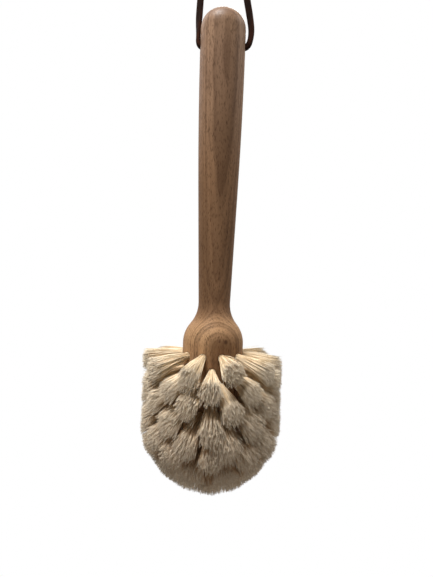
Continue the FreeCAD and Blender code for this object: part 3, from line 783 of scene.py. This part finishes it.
def fibre_lines(rng, spread, lean, mouth, axis, sideways, upward):
    """Stations along each fibre of a tuft, their shares of its length and the tint of its strand."""
    axis = axis + lean[0] * sideways + lean[1] * upward
    axis = axis / np.linalg.norm(axis)
    spread = spread * rng.uniform(*SPREAD_RANGE)
    strand_way, strand_shift, strand_length, strand_tint = make_strands(rng)
    strand = rng.integers(0, STRANDS, FIBRES)
    way = strand_way[strand]
    outer = np.linalg.norm(way, axis=1)
    root = way * (ROOT_RADIUS - ROOT_SHIFT) + rng.uniform(-ROOT_SHIFT, ROOT_SHIFT, (FIBRES, 2))
    tip = way * spread + strand_shift[strand] + rng.normal(0, TIP_SHIFT, (FIBRES, 2))
    stray = rng.random(FIBRES) < STRAY_SHARE
    tip[stray] *= rng.uniform(*STRAY_RANGE, (stray.sum(), 1))
    slope = (tip - root) / TUFT_LENGTH
    flare = slope * (outer ** 3 * rng.uniform(*FLARE_RANGE, FIBRES))[:, None]

    def place(along):
        out = np.maximum(along - COLLAR, 0.0)[:, None]
        share = out / TUFT_LENGTH
        flat = root + slope * TUFT_LENGTH * share ** SPREAD_POWER + flare * out * share ** 2
        return mouth + axis * along[:, None] + sideways * flat[:, :1] + upward * flat[:, 1:]

    trimmed = trimmed_lengths(place)
    short_by = np.clip(np.abs(rng.normal(0, FEATHER, FIBRES)), 0, FEATHER_MOST)
    strand_limit = np.minimum(strand_length[strand], LONGEST_STRAND)
    length = trimmed * (1 - OUTER_TRIM * outer ** 2) * strand_limit * (FEATHER_TOP - short_by)
    broken = rng.random(FIBRES) < BROKEN_SHARE
    length[broken] *= rng.uniform(*BROKEN_RANGE, broken.sum())

    in_hole = np.full(FIBRES, -ROOT_DEPTH)
    at_mouth = np.full(FIBRES, COLLAR)
    stations = np.stack([in_hole, at_mouth, MIDDLE_SHARE * length, length], 1)
    lines = np.stack([place(station) for station in stations.T], 1)
    sway = rng.normal(0, SWAY, (FIBRES, 3)) + rng.normal(0, SWAY, (STRANDS, 3))[strand]
    lines[:, MIDDLE] += sway
    lines[:, TIP] -= sway * TIP_SWAY
    sag = SAG * math.sqrt(max(0.0, 1 - axis[2] ** 2))
    lines[:, MIDDLE, 2] -= sag * MIDDLE_SAG
    lines[:, TIP, 2] -= sag
    return lines, np.clip(stations / length[:, None], 0, 1), strand_tint[strand]


def fibre_tubes(rng, lines):
    """Corners of the thin tube round each fibre, station by station."""
    count = len(lines)
    ahead = lines[:, TIP] - lines[:, MOUTH]
    ahead /= np.linalg.norm(ahead, axis=1, keepdims=True)
    side = np.cross(ahead, rng.normal(0, 1, (count, 3)))
    side /= np.linalg.norm(side, axis=1, keepdims=True)
    other = np.cross(ahead, side)
    angles = 2 * np.pi * np.arange(FIBRE_SIDES) / FIBRE_SIDES
    side_shares = np.cos(angles)[None, :, None]
    other_shares = np.sin(angles)[None, :, None]
    ring = side_shares * side[:, None] + other_shares * other[:, None]
    radius = FIBRE_RADIUS * FIBRE_TAPER * rng.uniform(*FIBRE_WIDTH, (count, 1))
    return lines[:, :, None] + radius[:, :, None, None] * ring[:, None]


def fibre_faces(stations):
    """Faces of one fibre: walls between its stations, and a cap at each end."""
    faces = []
    for station in range(stations - 1):
        first = station * FIBRE_SIDES
        for corner in range(FIBRE_SIDES):
            following = (corner + 1) % FIBRE_SIDES
            wall = (corner, following, following + FIBRE_SIDES, corner + FIBRE_SIDES)
            faces.append([first + vertex for vertex in wall])
    last = (stations - 1) * FIBRE_SIDES
    faces.append(list(reversed(range(FIBRE_SIDES))))
    faces.append([last + corner for corner in range(FIBRE_SIDES)])
    return faces


def lay_out(mesh, faces, count, stations):
    """Texture map that gives each fibre a small cell of its own."""
    grid = math.ceil(math.sqrt(count))
    spots = []
    for face in faces:
        columns = [vertex % FIBRE_SIDES for vertex in face]
        wraps = len(face) == 4 and max(columns) - min(columns) == FIBRE_SIDES - 1
        for vertex, column in zip(face, columns):
            across = FIBRE_SIDES if wraps and column == 0 else column
            spots.append((across / FIBRE_SIDES, (vertex // FIBRE_SIDES) / (stations - 1)))
    spots = CELL_MARGIN + (1 - 2 * CELL_MARGIN) * np.array(spots)
    cells = np.stack([np.arange(count) % grid, np.arange(count) // grid], 1)
    places = (cells[:, None] + spots[None]) / grid
    layer = mesh.uv_layers.new(name="OFBake")
    layer.data.foreach_set("uv", places.astype(np.float32).ravel())


def fibre_mesh(name, places, faces):
    """Mesh of many fibres that all have the same faces."""
    count, stations = places.shape[:2]
    per_fibre = stations * FIBRE_SIDES
    corners = np.concatenate(faces)
    all_corners = (corners[None] + per_fibre * np.arange(count)[:, None]).ravel()
    sizes = np.tile([len(face) for face in faces], count)
    mesh = bpy.data.meshes.new(name)
    mesh.vertices.add(count * per_fibre)
    mesh.vertices.foreach_set("co", places.astype(np.float32).ravel())
    mesh.loops.add(len(all_corners))
    mesh.loops.foreach_set("vertex_index", all_corners.astype(np.int32))
    mesh.polygons.add(len(sizes))
    mesh.polygons.foreach_set("loop_start", (np.cumsum(sizes) - sizes).astype(np.int32))
    mesh.update(calc_edges=True)
    return mesh


def make_bristles(name, tufts, spread, seed, material):
    """All the fibres of one ring of tufts as thin three-sided tubes."""
    rng = np.random.default_rng(seed)
    lines, along, tints = [], [], []
    leans = rng.normal(0, TUFT_LEAN, (len(tufts), 2))
    for lean, parts in zip(leans, tufts):
        tuft_lines, tuft_along, strand_tint = fibre_lines(rng, spread, lean, *parts)
        lines.append(tuft_lines)
        along.append(tuft_along)
        tints.append(np.clip(rng.normal(*FIBRE_TINT, FIBRES) + strand_tint, 0, 1))
    places = fibre_tubes(rng, np.concatenate(lines))
    count, stations = places.shape[:2]
    faces = fibre_faces(stations)
    mesh = fibre_mesh(name, places, faces)
    add_values(mesh, "along", np.repeat(np.concatenate(along), FIBRE_SIDES, axis=1))
    add_values(mesh, "tint", np.repeat(np.concatenate(tints), stations * FIBRE_SIDES))
    lay_out(mesh, faces, count, stations)
    return link_object(name, mesh, material)


# Stage

WHITE = (1.0, 1.0, 1.0, 1.0)
FLOOR_TONE = colour(236, 235, 232)
FLOOR_HEIGHT = -1.0
FLOOR_RADIUS = 0.7
FLOOR_SEGMENTS = 96
# Distances from the floor's middle between which it fades to the white of the backdrop
FLOOR_CHANGE = (0.1, 0.32)

# Strength of the even light, and each lamp's name, place, size and power: a broad one high in
# front, and weak ones behind and on both sides
AMBIENT = 0.15
LIGHTS = (
    ("overhead", (-0.33, -0.40, 0.86), 0.6, 23.5),
    ("left_back", (-0.48, 0.36, 0.25), 0.4, 1.3),
    ("right", (0.5, 0.05, 0.2), 0.4, 1.6),
    ("back", (0.08, 0.62, 0.38), 0.35, 2.6),
)
LIGHT_TARGET = Vector((0.0, 0.0, -0.2))


def seen_rays(tree):
    """1 for the rays that show a background: straight, mirrored or through glass."""
    path = add_node(tree, "ShaderNodeLightPath").outputs
    seen = calculate(tree, "MAXIMUM", path["Is Camera Ray"], path["Is Glossy Ray"])
    return calculate(tree, "MAXIMUM", seen, path["Is Transmission Ray"])


def make_floor():
    """Plain pale floor far below the brush, which fades to the white of the backdrop."""
    mesh = bpy.data.meshes.new("floor")
    shape = bmesh.new()
    bmesh.ops.create_circle(shape, cap_ends=True, segments=FLOOR_SEGMENTS, radius=FLOOR_RADIUS)
    shape.to_mesh(mesh)
    shape.free()
    floor = bpy.data.objects.new("floor", mesh)
    floor.location.z = FLOOR_HEIGHT
    scene.collection.objects.link(floor)
    material, tree, shader, place = new_material("pale_floor", Base_Color=FLOOR_TONE, Roughness=0.9)
    distance = vector_math(tree, "LENGTH", place).outputs["Value"]
    factor = product(tree, fade(tree, distance, *FLOOR_CHANGE), seen_rays(tree))
    white = add_node(tree, "ShaderNodeEmission").outputs[0]
    inputs = {0: factor, 1: shader.outputs[0], 2: white}
    both = add_node(tree, "ShaderNodeMixShader", inputs).outputs[0]
    tree.links.new(both, tree.nodes["Material Output"].inputs["Surface"])
    mesh.materials.append(material)


def make_light():
    """Soft lamps round the brush, and even light from all sides that the camera sees as white."""
    world = bpy.data.worlds.new("studio")
    world.use_nodes = True
    scene.world = world
    tree = world.node_tree
    tree.nodes.clear()
    dim = add_node(tree, "ShaderNodeBackground", {"Color": WHITE, "Strength": AMBIENT}).outputs[0]
    white = add_node(tree, "ShaderNodeBackground", {"Color": WHITE, "Strength": 1.0}).outputs[0]
    both = add_node(tree, "ShaderNodeMixShader", {0: seen_rays(tree), 1: dim, 2: white}).outputs[0]
    add_node(tree, "ShaderNodeOutputWorld", {"Surface": both})
    for name, place, size, power in LIGHTS:
        data = bpy.data.lights.new(name, "AREA")
        data.shape = "DISK"
        data.size = size
        data.energy = power
        lamp = bpy.data.objects.new(name, data)
        lamp.location = place
        lamp.rotation_euler = (LIGHT_TARGET - lamp.location).to_track_quat("-Z", "Y").to_euler()
        scene.collection.objects.link(lamp)


def make_camera():
    """Level camera in front of the brush, a little rolled."""
    data = bpy.data.cameras.new("camera")
    data.sensor_width = SENSOR
    data.lens = FOCAL_PIXELS / IMAGE_HEIGHT * SENSOR
    data.clip_start = CLIP_START
    camera = bpy.data.objects.new("camera", data)
    camera.location = CAMERA_PLACE
    camera.rotation_euler = (math.pi / 2, -CAMERA_ROLL, 0.0)
    scene.collection.objects.link(camera)
    scene.camera = camera
    scene.view_settings.view_transform = "Standard"


make_camera()
make_light()
make_floor()
dress("handle", make_wood())
steel = make_steel()
for node_name in nodes:
    if node_name.startswith("anchor"):
        dress(node_name, steel)
make_thong(make_leather())
fibre = make_bristle()
rings = zip(all_tufts().items(), TUFT_SPREADS)
for ring_seed, ((node_name, ring), ring_spread) in enumerate(rings, start=FIRST_SEED):
    piece_name = node_name.replace("tuft", "bristle")
    bristles = make_bristles(piece_name, ring, ring_spread, ring_seed, fibre)
    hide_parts(node_name)
    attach(bristles, "brush")
